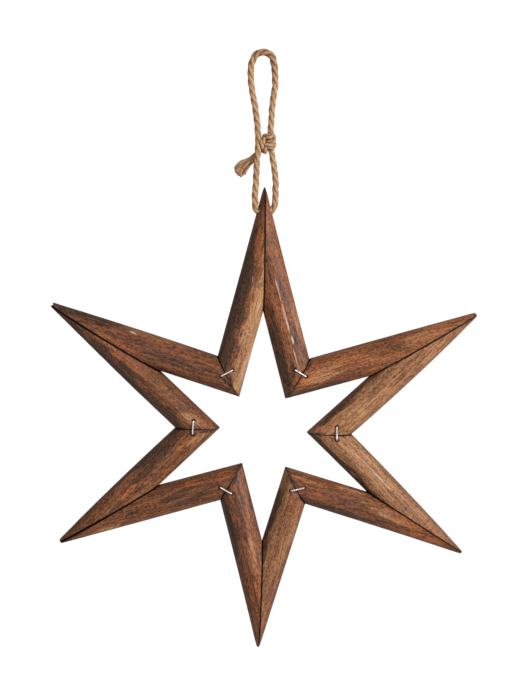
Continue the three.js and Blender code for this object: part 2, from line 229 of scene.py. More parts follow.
def eased(t):
    """The smooth step of shares from 0 to 1: three squares less two cubes."""
    return t * t * (3 - 2 * t)


def bumps(x, y, seed, octaves=3, cells=64):
    """Smooth seeded noise over a plane, about -1 to 1: cell corners get random heights, blended by the
    smooth step, and each octave is half as high and twice as fine."""
    total, size = 0.0, 1.0
    table = np.random.default_rng(seed).uniform(-1, 1, (cells, cells))
    for _ in range(octaves):
        i, j = np.floor(x).astype(int), np.floor(y).astype(int)
        u, v = eased(x - i), eased(y - j)
        i0, i1, j0, j1 = i % cells, (i + 1) % cells, j % cells, (j + 1) % cells
        low = table[i0, j0] * (1 - u) + table[i1, j0] * u
        high = table[i0, j1] * (1 - u) + table[i1, j1] * u
        total = total + size * (low * (1 - v) + high * v)
        x, y, size = x * 2 + 17.3, y * 2 + 5.7, size / 2
    return total


def unit(vectors):
    """Vectors divided by their own lengths."""
    return vectors / np.linalg.norm(vectors, axis=-1, keepdims=True)


def circled(angle, u, v):
    """The direction at an angle round a line, from two vectors across it: cosine of u, sine of v."""
    return np.cos(angle)[..., None] * u + np.sin(angle)[..., None] * v


def run_along(line, power=1.0):
    """How far each point of a line is from its start, with each step between points to a power."""
    return np.concatenate([[0], np.cumsum(np.linalg.norm(np.diff(line, axis=0), axis=1) ** power)])


def smooth_line(points, count, fine=40):
    """A centripetal Catmull-Rom curve through points, at count places evenly spaced along it, and its
    length. Each span blends straight lines through its four nearest points, and then those blends."""
    p = np.asarray(points, float)
    p = np.vstack([2 * p[0] - p[1], p, 2 * p[-1] - p[-2]])
    knot = run_along(p, 0.5)
    parts = []
    for k in range(1, len(p) - 2):
        t = np.linspace(knot[k], knot[k + 1], fine, endpoint=False)[:, None]
        a = [((knot[j + 1] - t) * p[j] + (t - knot[j]) * p[j + 1]) / (knot[j + 1] - knot[j])
             for j in (k - 1, k, k + 1)]
        b = [((knot[j + 2] - t) * a[i] + (t - knot[j]) * a[i + 1]) / (knot[j + 2] - knot[j])
             for i, j in enumerate((k - 1, k))]
        parts.append(((knot[k + 1] - t) * b[0] + (t - knot[k]) * b[1]) / (knot[k + 1] - knot[k]))
    line = np.vstack([*parts, p[-2:-1]])
    run = run_along(line)
    even = np.linspace(0, run[-1], count)
    return np.stack([np.interp(even, run, line[:, k]) for k in range(3)], -1), run[-1]


def carried_frames(line):
    """The unit vector along a line at each of its points, and two across it that are carried along
    without twisting: each is the one before it, less its part along the line."""
    along = unit(np.gradient(line, axis=0))
    side = np.empty_like(line)
    side[0] = unit(np.cross(along[0], (0.0, 1.0, 0.0) if abs(along[0][1]) < 0.9 else (1.0, 0.0, 0.0)))
    for i in range(1, len(line)):
        side[i] = unit(side[i - 1] - along[i] * (side[i - 1] @ along[i]))
    return along, side, np.cross(along, side)


def spun(line, thick, lay, phase, sides, seed, apart=0.175):
    """Twisted strands round a line: each strand's middle circles the line once every lay, and its own
    yarns ripple its surface. A fan closes each strand's ends. Returns points, faces and the twist
    coordinates of every point: round its strand, along it, and the strand's number."""
    count, step = len(line), run_along(line)
    _, u, v = carried_frames(line)
    ring, run = np.meshgrid(np.arange(sides) * 2 * math.pi / sides, step, indexing="xy")
    corner = np.arange(sides)
    after, last = (corner + 1) % sides, (count - 1) * sides
    points, faces, twist = [], [], []
    for k in range(STRANDS):
        turn = phase + 2 * math.pi * (k / STRANDS - step / lay)
        centre = line + thick[:, None] * apart * circled(turn, u, v)
        ripple = 1 + 0.05 * np.cos(5 * ring - 2 * math.pi * run / (lay * 0.55))
        ripple = ripple + 0.05 * bumps(ring * 1.9, run * 0.9, seed + k)
        radius = ((0.515 - apart) * thick)[:, None] * ripple
        tube = centre[:, None] + radius[..., None] * circled(ring, u[:, None], v[:, None])
        place = np.stack([ring * 0.8 + 7 * k, run, np.full_like(run, k)], -1).reshape(-1, 3)
        points += [tube.reshape(-1, 3), centre[:1], centre[-1:]]
        twist += [place, place[:1], place[-1:]]
        base = k * (count * sides + 2)
        foot, head = np.full(sides, count * sides), np.full(sides, count * sides + 1)
        faces += (grid_faces(count, sides) + base).tolist()
        faces += (np.stack([after, corner, foot], -1) + base).tolist()
        faces += (np.stack([corner + last, after + last, head], -1) + base).tolist()
    return np.vstack(points), faces, np.vstack(twist)


def row_of(rows, sides):
    """The row of the line that each point of a spun line belongs to."""
    return np.tile(np.concatenate([np.repeat(np.arange(rows), sides), [0, rows - 1]]), STRANDS)


def groove_depth(points, line, sides, thick):
    """How deep each point of a spun line lies below its outside, 0 to 1, from its distance to the line
    as a share of the thickness."""
    row = row_of(len(line), sides)
    away = np.linalg.norm(points - line[row], axis=1) / thick[row]
    return np.clip((0.485 - away) * 8, 0, 1)


def fibres(line, thick, seed, sides=4):
    """Thin tapering tubes, one along each line of an array of lines. Across each of them, a ring of
    points is set round the line in two directions that are square to it."""
    rng = np.random.default_rng(seed)
    n, rows = line.shape[:2]
    t = np.linspace(0, 1, rows)
    ahead = unit(np.gradient(line, axis=1))
    u = unit(np.cross(ahead, (0.3, 1.0, 0.2)))
    v = np.cross(ahead, u)
    angle = np.arange(sides) * 2 * math.pi / sides
    width = (thick * rng.uniform(0.7, 1.3, n))[:, None] * (1 - 0.65 * t[None, :] ** 2)
    ring = circled(angle, u[:, :, None], v[:, :, None])
    points = (line[:, :, None] + width[..., None, None] / 2 * ring).reshape(-1, 3)
    tube = tube_faces(rows, sides)
    faces = [[i + k * rows * sides for i in face] for k in range(n) for face in tube]
    tone, shade = rng.uniform(0, 3, (n, 1)), rng.uniform(-0.3, 0.35, (n, 1))
    field = np.stack(np.broadcast_arrays(tone, t * 12, tone * 0.7, shade), -1)
    return points, faces, np.repeat(field.reshape(-1, 4), sides, axis=0)


def stray_hairs(line, radius, count, seed):
    """Lines of fibres that stand off a twine: each starts on its surface at a random place and side,
    runs some millimetres along it, and rises from it by the square of its own length."""
    rng = np.random.default_rng(seed)
    along, u, v = carried_frames(line)
    at = rng.integers(10, len(line) - 10, count)
    turn = rng.uniform(0, 2 * math.pi, count)
    out, aside = circled(turn, u[at], v[at])[:, None], circled(turn, v[at], -u[at])[:, None]
    way = (rng.choice([-1, 1], (count, 1)) * along[at])[:, None]
    reach, lift = rng.uniform(2, 5, (count, 1, 1)), rng.uniform(0.3, 1.8, (count, 1, 1))
    drift = rng.normal(0, 1, (count, 1, 1))
    t = np.linspace(0, 1, 7)[None, :, None]
    rise = out * (radius * 0.95 + lift * t ** 2)
    return line[at][:, None] + rise + way * reach * t + aside * drift * t ** 2


def jute():
    """Matt golden-brown fibre, streaked along the yarns, with painted shade in the grooves between
    strands.
    """
    m, shader, s = material("jute", Roughness=0.8, Specular_IOR_Level=0.35)
    twist = s.node("Attribute", attribute_name="twist", out=1)
    depth = s.node("Attribute", attribute_name="depth", out=2)
    fibre = twist.stretched(9.6, 1.44, 8).noise(4, 0.6, 0.3)
    patch = twist.stretched(0.3, 0.16, 1).noise(2)
    straw = fibre.step(0.37, 0.64).mix(FIBRE_DARK, FIBRE_LIGHT)
    toned = (patch.step(0.38, 0.7) * 0.5).mix(straw, FIBRE_AGED)
    # The depth attribute paints shade in the grooves, in the knot's middle, between the brush's locks and
    # over the hook's arc; on some fibres it is only a darker tone.
    colour = (depth.step(0.05, 0.8) * 0.95).mix(toned, FIBRE_SHADED)
    rise = s.node("Bump", {"Height": fibre, "Strength": 0.55, "Distance": 0.0004})
    feed(shader, Base_Color=colour, Normal=rise)
    return m


def twine_piece(name, parts, node):
    """One mesh of jute from several lots of points, faces and point fields. The fields' first three
    columns are the twist coordinates, and the fourth is how dark the fibre is painted: painted shade in
    its grooves and hollows, and some darker tone."""
    points, faces, fields, base = [], [], [], 0
    for p, f, t in parts:
        points.append(p)
        fields.append(t)
        faces += [[i + base for i in face] for face in f]
        base += len(p)
    fields = np.vstack(fields)
    return mesh_piece(name, np.vstack(points), faces, jute_finish, node,
                      {"twist": fields[:, :3], "depth": fields[:, 3]})


jute_finish = jute()
route = ROUTE_AT_KNOT + [(x, y, BORE_Z + z) for x, y, z in ROUTE_AT_BORE] + ROUTE_AT_HOOK
loop_line, loop_length = smooth_line(route, LOOP_ROWS)
share = np.linspace(0, 1, LOOP_ROWS)
thick = TWINE * np.interp(share, *SWELL)
points, faces, twist = spun(loop_line, thick, LAY, phase=1.0, sides=STRAND_SIDES, seed=4)
# Painted shade in the grooves between strands, and over the hook's arc.
depth = groove_depth(points, loop_line, STRAND_SIDES, thick)
depth = depth + np.interp(share, *HOOK_ARC_SHADE)[row_of(LOOP_ROWS, STRAND_SIDES)]
hairs = fibres(stray_hairs(loop_line, TWINE / 2, STRAY_HAIRS, seed=8), HAIR, seed=9)
strands = points, faces, np.column_stack([twist, depth])
loop = twine_piece("twine_loop_strands", [strands, hairs], "twine_loop")


# The knot and the frayed tail
# Both ends of the twine are tied in a small round knot on the right strand. One end stops short under
# the knot; the other runs down past the left strand, and its last 2 cm have opened into a brush.
KNOT_CORE = [(5.85, -0.3, -66.4), (6.1, 0.5, -70.0), (6.1, 0.7, -75.0), (6.3, 0.5, -80.0),
             (6.6, -0.4, -84.2)]
UPPER_WRAP = [(4.6, 2.8, -72.6), (1.6, 2.2, -71.8), (0.9, 0.0, -71.0), (1.6, -2.4, -70.6),
              (3.4, -4.0, -71.0), (5.3, -4.4, -71.4), (7.0, -3.2, -70.5), (7.7, -0.8, -69.8),
              (7.0, 1.6, -70.0)]
MIDDLE_WRAP = [(7.0, 2.0, -69.8), (8.1, 0.2, -70.8), (8.6, -1.8, -72.8), (8.5, -3.3, -74.8),
               (6.9, -4.0, -75.9), (4.7, -3.2, -75.8), (3.3, -1.2, -75.3), (2.9, 1.2, -75.2)]
LOWER_WRAP = [(1.4, 2.2, -75.6), (0.5, 0.4, -76.6), (0.9, -2.0, -77.4), (2.6, -3.6, -78.4),
              (4.8, -4.2, -79.3), (6.9, -3.5, -80.3), (7.9, -1.6, -80.4), (7.5, 1.0, -79.5),
              (5.8, 2.6, -78.8)]
BACK_WRAP = [(6.6, -2.4, -77.3), (8.4, -1.9, -77.2), (9.0, 0.2, -77.4), (7.4, 2.4, -77.6),
             (4.4, 3.0, -77.0), (2.6, 2.6, -75.0)]
SHORT_END = [(6.2, 3.0, -77.6), (3.4, 3.4, -79.2), (1.6, 2.8, -81.6), (0.9, 0.6, -83.6),
             (1.1, -1.6, -83.9), (1.6, -2.9, -82.2), (2.9, -2.6, -80.2)]
TAIL = [(5.0, 0.6, -72.8), (2.4, -0.8, -72.6), (-0.2, -3.2, -73.6), (-1.3, -4.4, -76.2),
        (-1.3, -3.8, -78.8), (-1.8, -1.4, -81.2), (-3.2, 1.1, -83.4), (-5.2, 2.2, -85.6),
        (-7.4, 2.5, -87.8), (-9.6, 2.6, -89.8), (-11.6, 2.6, -91.4)]
KNOT_MIDDLE, KNOT_HALF = np.array([5.0, -0.4, -76.0]), np.array([6.4, 5.6, 9.0])
BRUSH_UPPER = [(-7.0, 1.8, -83.9), (-9.6, 2.4, -86.0), (-11.9, 2.6, -88.3), (-14.1, 2.6, -89.4),
               (-17.2, 2.4, -90.6), (-19.5, 2.2, -91.4), (-21.7, 2.0, -92.7), (-23.3, 1.8, -94.4)]
BRUSH_LOWER = [(-3.8, 1.4, -87.6), (-6.0, 2.2, -90.6), (-8.4, 2.6, -93.0), (-11.0, 2.6, -95.2),
               (-12.2, 2.4, -97.1), (-13.8, 2.2, -99.7), (-15.3, 2.0, -102.8)]
BRUSH_END = [(-23.3, 1.8, -94.4), (-25.4, 1.8, -96.9), (-25.7, 1.6, -99.4), (-24.8, 1.6, -102.3),
             (-23.2, 1.6, -103.9), (-21.6, 1.6, -105.4), (-19.9, 1.6, -106.4), (-18.6, 1.6, -105.2),
             (-17.6, 1.8, -104.0), (-16.3, 1.8, -104.2), (-15.3, 2.0, -102.8)]
LOOSE_LOCK = [(-12.8, -1.2, -92.3), (-14.4, -2.6, -94.4), (-16.0, -3.0, -96.5), (-17.6, -2.6, -98.9)]


def knotted(route, thick, seed, taper=(0.9, 0.9), rows=110, sides=14, lay=21):
    """One turn of the knot: strands spun along a smooth route, thinner at its two ends by the taper. It
    has painted shade in its grooves and towards the middle of the knot's oval."""
    line, _ = smooth_line(route, rows)
    width = thick * np.interp(np.linspace(0, 1, rows), [0, 0.12, 0.88, 1], [taper[0], 1, 1, taper[1]])
    points, faces, twist = spun(line, width, lay, phase=seed * 1.3, sides=sides, seed=seed, apart=0.18)
    # Painted shade towards the middle of the knot's oval, added to that in the grooves.
    inside = 0.9 - np.linalg.norm((points - KNOT_MIDDLE) / KNOT_HALF, axis=1)
    dark = groove_depth(points, line, sides, width) + np.clip(inside * 3, 0, 0.8) + 0.06
    return points, faces, np.column_stack([twist, dark])


def brush_plan(t, share):
    """A place inside the brush's outline: the blend of its upper and lower edges by share, plus, in
    proportion to t, how far its end's outline departs from a straight line between those two edges."""
    def place(outline, where, fine=120):
        line, _ = smooth_line(outline, fine)
        return np.stack([np.interp(where, np.linspace(0, 1, fine), line[:, k]) for k in range(3)], -1)

    t, share = np.broadcast_arrays(t, share)
    a, b = t[..., None], share[..., None]
    straight = (1 - b) * np.array(BRUSH_UPPER[-1]) + b * np.array(BRUSH_LOWER[-1])
    edges = (1 - b) * place(BRUSH_UPPER, t) + b * place(BRUSH_LOWER, t)
    return edges + a * (place(BRUSH_END, share) - straight)


def brush_depth(t, share, front):
    """Half the brush's thickness, and the height of its locks. Lengthwise ridges of noise stand for the
    locks, and a bell-shaped groove parts them in front."""
    deep = np.interp(t, [0, 0.25, 0.7, 0.92, 1], [2.4, 2.3, 3.0, 2.5, 1.0])
    locks = 1 + 0.3 * bumps(share * 3.6 + np.where(front, 0, 9), t * 1.3, 21)
    groove = 0.75 * np.exp(-((share - 0.66) / 0.06) ** 2)
    groove = groove * np.clip((t - 0.3) / 0.15, 0, 1) * np.clip((0.95 - t) / 0.2, 0, 1)
    locks = locks - np.where(front, groove, 0)
    return deep * locks, locks


def brush(rows=70, columns=96, count=170):
    """The brush's mass, fibres that lie along it, and one lock that came loose. The mass is a closed
    oval patch: its share of the width goes by the cosine of the angle round it, its depth by the sine."""
    back = np.array([0.0, 1.0, 0.0])
    t = np.linspace(0, 1, rows)[:, None] ** 0.9
    angle = np.arange(columns)[None, :] * 2 * math.pi / columns
    share = (1 - np.cos(angle)) / 2
    front = np.sin(angle) > 0
    deep, locks = brush_depth(t, share, front)
    frayed = 1 + 0.035 * bumps(share * 14, t * 0 + 3, 33) * t ** 3
    mass = brush_plan(t * frayed, share) - (deep * np.sin(angle))[..., None] * back
    # Painted shade where the locks are low, deepest in the groove that parts them in front.
    shade = np.clip((0.95 - locks) * 3.2, 0, 0.95)
    field = np.stack(np.broadcast_arrays(share * 3.5 + 20 * front, t * 7, 9.0, shade), -1)
    rng = np.random.default_rng(5)
    begin, stop = rng.uniform(0, 0.45, (count, 1)), rng.uniform(0.8, 1.03, (count, 1))
    across = rng.uniform(0.02, 0.98, (count, 1))
    ahead = np.linspace(0, 1, 14)[None, :]
    wander = rng.uniform(-0.05, 0.05, (count, 1)) * ahead
    wander = wander + 0.012 * np.sin(ahead * 5 + rng.uniform(0, 6, (count, 1)))
    forward = rng.uniform(0, 1, (count, 1)) < 0.65
    at, beside = begin + (stop - begin) * ahead, np.clip(across + wander, 0.0, 1.0)
    away = brush_depth(at, beside, forward)[0] * 2 * np.sqrt(beside * (1 - beside)) + 0.12
    lines = brush_plan(at, beside) - (away * np.where(forward, 1, -1))[..., None] * back
    lock, _ = smooth_line(LOOSE_LOCK, 14)
    loose = lock[None] + rng.normal(0, 0.22, (9, 1, 3))
    body = mass.reshape(-1, 3), tube_faces(rows, columns), field.reshape(-1, 4)
    return [body, fibres(lines, 0.5, seed=6), fibres(loose, 0.7, seed=7)]


wraps = [knotted(KNOT_CORE, 5.1, 11, taper=(1, 1)), knotted(UPPER_WRAP, 5.0, 12),
         knotted(MIDDLE_WRAP, 4.7, 13), knotted(LOWER_WRAP, 5.0, 14), knotted(BACK_WRAP, 4.5, 17),
         knotted(SHORT_END, 4.8, 15)]
knot = twine_piece("twine_knot_wraps", wraps, "twine_knot")
lead = knotted(TAIL, 4.9, 16, taper=(0.9, 1), rows=150)
tail = twine_piece("twine_tail_frayed", [lead, *brush()], "twine_knot")


# The wooden staves
# Twelve split branches, flat at the back and half round at the front, stained dark brown and waxed.
# Each is sawn to a long mitre at its point and to a short one at its elbow. The regular star is given
# first, then how each hand-sawn point, elbow and stave departs from it, in millimetres and degrees.
TIP_REACH, NOTCH_REACH = 205.5, 75.0
STAVE_WIDTH, STAVE_DEPTH, EDGE_HEIGHT = 27.2, 13.5, 3.0
SEAM_GAP, MITRE_GAP = 0.8, 0.4
BACK_Y = 5.6
CENTRE_Z = -326.8
# The crotch's width is measured this many stave widths from the tip.
CROTCH_AT = 3.8
# Below this height over the flat back both mitres close, to a little past each other.
CLOSED_BELOW, CLOSED_PAST = 5, 1.03
ARCH_COLUMNS, ROWS = 48, 210
END_ROWS = np.array([0, 0.06, 0.2, 0.45, 0.8, 1.25, 1.8, 2.5, 3.3])

# Point: angle, reach, lean, width of the worn end, bevel of the long mitre, how far the worn end's
# corners are rounded off, or its middle is split open where the number is negative, and how far the
# mitre has sprung open near the tip, on each side.
POINTS = {
    "top": (90, 6.4, -0.2, 1.8, 4.5, 0.8, 0.15),
    "upper_left": (150, 9.5, -0.7, 3.7, -11, -1.9, 0.6),
    "lower_left": (210, -2.8, -1.3, 4.0, -6.5, 1.3, 0.7),
    "bottom": (270, -16.0, -1.5, 2.6, -5.5, 0.8, 0.1),
    "lower_right": (330, -2.2, -1.8, 2.7, -1, 0.9, 0.05),
    "upper_right": (30, 5.8, -1.5, 4.0, 6.5, 1.4, 0.1),
}
# Elbow: angle, reach, lean, bevel, the staple's share of the mitre, and the staple's turn.
ELBOWS = {
    "top_left": (120, 0.9, 1.8, -6, 0.42, -1),
    "left": (180, 2.1, -1.7, -8, 0.4, -4),
    "bottom_left": (240, -3.0, -1.9, -2, 0.27, 1),
    "bottom_right": (300, -1.1, -0.7, 4, 0.4, -15),
    "right": (0, 1.5, -2.6, 8, 0.33, 3),
    "top_right": (60, -1.4, -2.5, 8, 0.36, -1),
}
# Stave: its point and elbow, extra width at the crotch and at the elbow, bow of the outer edge, the
# stain as shares of char, tan, ember and plum, and then its marks, by their kind. A mark is its place
# as shares of the length from the tip and of the width from the outer edge, its half length and half
# width in the same shares, and its strength.
# Pale marks are partly rubbed wear and partly painted highlights along the ridge of the arch.
STAVES = {
    "stave_top_left": ("top", "top_left", 0.3, 0.4, 0, (0.0, 0.15, 0.3, 0.1), {
        "char": [(0.62, 0.2, 0.42, 0.27, 1.5), (0.88, 0.18, 0.3, 0.3, 1.5),
                 (0.975, 0.56, 0.02, 0.09, 1.0)],
        "tan": [(0.3, 0.92, 0.7, 0.45, 1.25), (0.9, 0.86, 0.2, 0.22, 0.9)],
        "ember": [(0.6, 0.5, 0.3, 0.1, 0.55), (0.08, 0.4, 0.2, 0.3, 0.5), (0.93, 0.55, 0.1, 0.12, 0.8),
                  (0.1, 0.3, 0.25, 0.2, 0.7)],
        "hole": [(0.46, 0.63, 0.006, 0.03, 1), (0.985, 0.6, 0.01, 0.05, 1.1)],
        "pale": [(0.3, 0.42, 0.014, 0.03, 0.8), (0.4, 0.97, 0.5, 0.22, 0.5)]}),
    "stave_upper_left_upper": ("upper_left", "top_left", -0.5, 0.5, 0.6, (0.25, 0.05, 0.36, 0.6), {
        "char": [(0.15, 0.1, 0.3, 0.16, 0.75), (0.3, 0.98, 0.3, 0.1, 0.9),
                 (0.7, 0.56, 0.08, 0.05, 1.3), (0.52, 0.52, 0.2, 0.05, 1.2),
                 (0.84, 0.5, 0.08, 0.05, 0.8), (0.96, 0.66, 0.035, 0.1, 0.9)],
        "tan": [(0.62, 0.07, 0.26, 0.1, 0.6)],
        "ember": [(0.1, 0.58, 0.16, 0.22, 1.0), (0.6, 0.36, 0.2, 0.05, 1.2),
                  (0.45, 0.7, 0.14, 0.05, 1.2), (0.955, 0.66, 0.05, 0.14, 1.2)],
        "plum": [(0.55, 0.5, 0.38, 0.34, 1.0), (0.35, 0.95, 0.4, 0.22, 1.0),
                 (0.73, 0.58, 0.14, 0.12, 1.0), (0.85, 0.9, 0.14, 0.14, 0.9)],
        "pale": [(0.47, 0.12, 0.022, 0.04, 0.62), (0.78, 0.3, 0.008, 0.03, 0.55)],
        "hole": [(0.955, 0.6, 0.02, 0.05, 1.1), (0.975, 0.73, 0.016, 0.06, 1.2),
                 (0.94, 0.7, 0.012, 0.04, 1.0)]}),
    "stave_upper_left_lower": ("upper_left", "left", -1.6, -0.4, 0.9, (0.2, 0.22, 0.2, 0.15), {
        "char": [(0.48, 0.12, 0.6, 0.4, 1.0), (0.75, 0.1, 0.35, 0.36, 1.0)],
        "ember": [(0.22, 0.5, 0.3, 0.18, 0.85), (0.85, 0.42, 0.12, 0.1, 0.8),
                  (0.9, 0.85, 0.14, 0.14, 0.6)],
        "tan": [(0.5, 0.72, 0.3, 0.14, 0.4), (0.87, 0.6, 0.14, 0.22, 0.8)],
        "plum": [(0.5, 0.96, 0.4, 0.12, 0.7)],
        "hole": [(0.78, 0.36, 0.008, 0.03, 1), (0.83, 0.4, 0.008, 0.03, 1),
                 (0.87, 0.46, 0.006, 0.025, 1)],
        "pale": [(0.3, 0.1, 0.014, 0.03, 0.8)]}),
    "stave_lower_left_upper": ("lower_left", "left", -1.6, -0.6, 0.9, (0.2, 0.36, 0.0, 0.1), {
        "char": [(0.8, 0.15, 0.28, 0.3, 0.8), (0.2, 0.1, 0.1, 0.14, 0.4), (0.24, 0.6, 0.07, 0.1, 0.9),
                 (0.52, 0.36, 0.12, 0.14, 0.8), (0.97, 0.72, 0.012, 0.22, 1.0),
                 (0.52, 0.75, 0.14, 0.1, 0.5)],
        "ember": [(0.32, 0.45, 0.16, 0.08, 0.9), (0.8, 0.55, 0.1, 0.07, 0.6)],
        "tan": [(0.5, 0.92, 0.6, 0.14, 0.3), (0.15, 0.75, 0.2, 0.2, 0.5), (0.86, 0.74, 0.13, 0.14, 0.6)]}),
    "stave_lower_left_lower": ("lower_left", "bottom_left", -0.9, -0.7, 0.1, (0.25, 0.24, 0.12, 0.25), {
        "char": [(0.75, 0.3, 0.2, 0.14, 0.85), (0.985, 0.85, 0.02, 0.2, 0.9),
                 (0.52, 0.5, 0.16, 0.14, 0.8), (0.6, 0.68, 0.2, 0.07, 0.7),
                 (0.26, 0.42, 0.04, 0.05, 1.2)],
        "ember": [(0.5, 0.75, 0.24, 0.12, 0.7), (0.85, 0.75, 0.14, 0.2, 0.6)],
        "tan": [(0.25, 0.15, 0.15, 0.06, 0.8), (0.6, 0.1, 0.3, 0.1, 0.3),
                (0.296, 0.13, 0.04, 0.09, 1.3)],
        "knot": [(0.52, 0.42, 0.012, 0.05, 0.8), (0.296, 0.135, 0.008, 0.03, 0.8)],
        "plum": [(0.2, 0.85, 0.2, 0.14, 0.9), (0.8, 0.55, 0.2, 0.16, 0.7)]}),
    "stave_bottom_left": ("bottom", "bottom_left", -0.8, -0.6, -0.2, (0.05, 0.25, 0.22, 0.35), {
        "char": [(0.78, 0.08, 0.3, 0.2, 1.1), (0.975, 0.6, 0.012, 0.25, 1.0),
                 (0.55, 0.93, 0.1, 0.06, 0.6)],
        "ember": [(0.1, 0.5, 0.25, 0.4, 0.8), (0.5, 0.72, 0.2, 0.1, 0.6)],
        "tan": [(0.26, 0.56, 0.2, 0.17, 0.9), (0.72, 0.85, 0.3, 0.14, 0.35), (0.1, 0.15, 0.2, 0.1, 0.5)],
        "plum": [(0.7, 0.42, 0.26, 0.24, 0.8)]}),
    "stave_bottom_right": ("bottom", "bottom_right", -1.2, -0.9, 0, (0.05, 0.55, 0.15, 0.1), {
        "tan": [(0.55, 0.3, 0.3, 0.18, 0.6)],
        "char": [(0.45, 0.96, 0.6, 0.26, 0.8), (0.985, 0.6, 0.012, 0.25, 1.0),
                 (0.93, 0.58, 0.03, 0.03, 0.8)],
        "ember": [(0.87, 0.42, 0.08, 0.14, 1.0)],
        "plum": [(0.5, 0.72, 0.3, 0.1, 0.2), (0.5, 0.04, 0.5, 0.12, 0.9)],
        "pale": [(0.5, 0.5, 0.05, 0.02, 0.3)]}),
    "stave_lower_right_lower": ("lower_right", "bottom_right", -1.1, -1.2, -0.3, (0.0, 0.25, 0.35, 0.15), {
        "ember": [(0.1, 0.5, 0.14, 0.24, 0.9), (0.2, 0.14, 0.2, 0.14, 0.9), (0.78, 0.5, 0.1, 0.12, 0.7)],
        "tan": [(0.24, 0.48, 0.2, 0.2, 0.85), (0.85, 0.85, 0.22, 0.2, 0.4),
                (0.3, 0.85, 0.22, 0.12, 0.6)],
        "plum": [(0.6, 0.52, 0.24, 0.18, 1.0)],
        "char": [(0.75, 0.14, 0.26, 0.18, 0.7), (0.985, 0.72, 0.012, 0.25, 0.8)],
        "hole": [(0.47, 0.38, 0.006, 0.025, 1)],
        "pale": [(0.27, 0.46, 0.02, 0.03, 0.7)]}),
    "stave_lower_right_upper": ("lower_right", "right", -2.4, -0.9, 0.8, (0.0, 0.68, 0.12, 0.1), {
        "tan": [(0.65, 0.4, 0.4, 0.14, 1.1)],
        "pale": [(0.6, 0.32, 0.2, 0.025, 0.66), (0.27, 0.315, 0.14, 0.022, 0.62)],
        "char": [(0.5, 1.0, 0.85, 0.24, 0.8), (0.97, 0.55, 0.012, 0.25, 1.0),
                 (0.93, 0.56, 0.03, 0.04, 1.0), (0.8, 0.95, 0.2, 0.12, 0.7),
                 (0.12, 0.36, 0.09, 0.02, 0.9)],
        "ember": [(0.06, 0.3, 0.08, 0.16, 0.9)],
        "plum": [(0.45, 0.05, 0.5, 0.12, 0.6), (0.6, 0.66, 0.3, 0.12, 0.6),
                 (0.26, 0.43, 0.2, 0.05, 1.1)]}),
    "stave_upper_right_lower": ("upper_right", "right", -1.5, 0.1, 1.4, (0.0, 0.7, 0.14, 0.08), {
        "tan": [(0.2, 0.4, 0.2, 0.2, 0.6), (0.75, 0.5, 0.2, 0.22, 0.75)],
        "char": [(0.45, 0.97, 0.5, 0.2, 0.7), (0.93, 0.08, 0.1, 0.08, 0.5)],
        "hole": [(0.34, 0.5, 0.03, 0.02, 0.9), (0.39, 0.78, 0.02, 0.03, 0.9),
                 (0.17, 0.85, 0.02, 0.02, 0.8)],
        "ember": [(0.93, 0.72, 0.1, 0.14, 0.6)],
        "plum": [(0.55, 0.1, 0.4, 0.12, 0.6), (0.28, 0.68, 0.06, 0.06, 0.7),
                 (0.9, 0.93, 0.14, 0.14, 0.7), (0.42, 0.62, 0.2, 0.06, 0.8)],
        "pale": [(0.32, 0.39, 0.07, 0.035, 0.62), (0.54, 0.33, 0.09, 0.03, 0.6),
                 (0.76, 0.31, 0.07, 0.03, 0.55)]}),
    "stave_upper_right_upper": ("upper_right", "top_right", 0.7, 0.9, 0.2, (0.0, 0.44, 0.55, 0.08), {
        "ember": [(0.55, 0.35, 0.24, 0.22, 0.6), (0.96, 0.5, 0.08, 0.25, 1.1)],
        "plum": [(0.45, 0.82, 0.25, 0.16, 0.9)],
        "tan": [(0.65, 0.6, 0.1, 0.08, 0.8), (0.25, 0.2, 0.3, 0.14, 0.8), (0.82, 0.55, 0.16, 0.26, 1.1)],
        "char": [(0.975, 0.82, 0.012, 0.18, 1.0), (0.985, 0.2, 0.012, 0.2, 0.9),
                 (0.6, 0.98, 0.5, 0.13, 0.8)],
        "pale": [(0.65, 0.55, 0.02, 0.03, 0.7)]}),
    "stave_top_right": ("top", "top_right", 1.3, 1.6, -0.2, (0.05, 0.2, 0.5, 0.2), {
        "ember": [(0.45, 0.12, 0.3, 0.14, 0.6), (0.45, 0.5, 0.34, 0.14, 0.45),
                  (0.965, 0.6, 0.03, 0.12, 1.8)],
        "plum": [(0.35, 0.28, 0.28, 0.07, 1.2), (0.14, 0.5, 0.16, 0.14, 0.8),
                 (0.8, 0.33, 0.16, 0.16, 1.0)],
        "char": [(0.38, 0.33, 0.14, 0.03, 1.0), (0.78, 0.28, 0.1, 0.09, 1.15),
                 (0.6, 0.9, 0.5, 0.24, 0.85), (0.86, 0.62, 0.12, 0.1, 0.9)],
        "tan": [(0.55, 0.42, 0.16, 0.07, 0.7), (0.97, 0.6, 0.015, 0.06, 1.4),
                (0.75, 0.1, 0.2, 0.12, 0.7)],
        "pale": [(0.42, 0.43, 0.16, 0.034, 0.62), (0.62, 0.42, 0.14, 0.034, 0.66),
                 (0.75, 0.39, 0.04, 0.038, 0.9), (0.87, 0.43, 0.1, 0.036, 0.75)]}),
}

# The stains, each as the tone of the wood's dark fibres and of its light ones.
BROWN = (0.047, 0.0145, 0.0047, 1), (0.1703, 0.055, 0.0167, 1)
TAN = (0.1505, 0.0659, 0.027, 1), (0.3217, 0.1581, 0.0687, 1)
EMBER = (0.104, 0.0262, 0.0066, 1), (0.304, 0.0905, 0.0246, 1)
PLUM = (0.0402, 0.0141, 0.0071, 1), (0.1357, 0.0452, 0.0215, 1)
CHAR = (0.017, 0.0073, 0.0029, 1), (0.0775, 0.0305, 0.0132, 1)
SAWN = (0.012, 0.007, 0.005, 1), (0.034, 0.02, 0.013, 1)
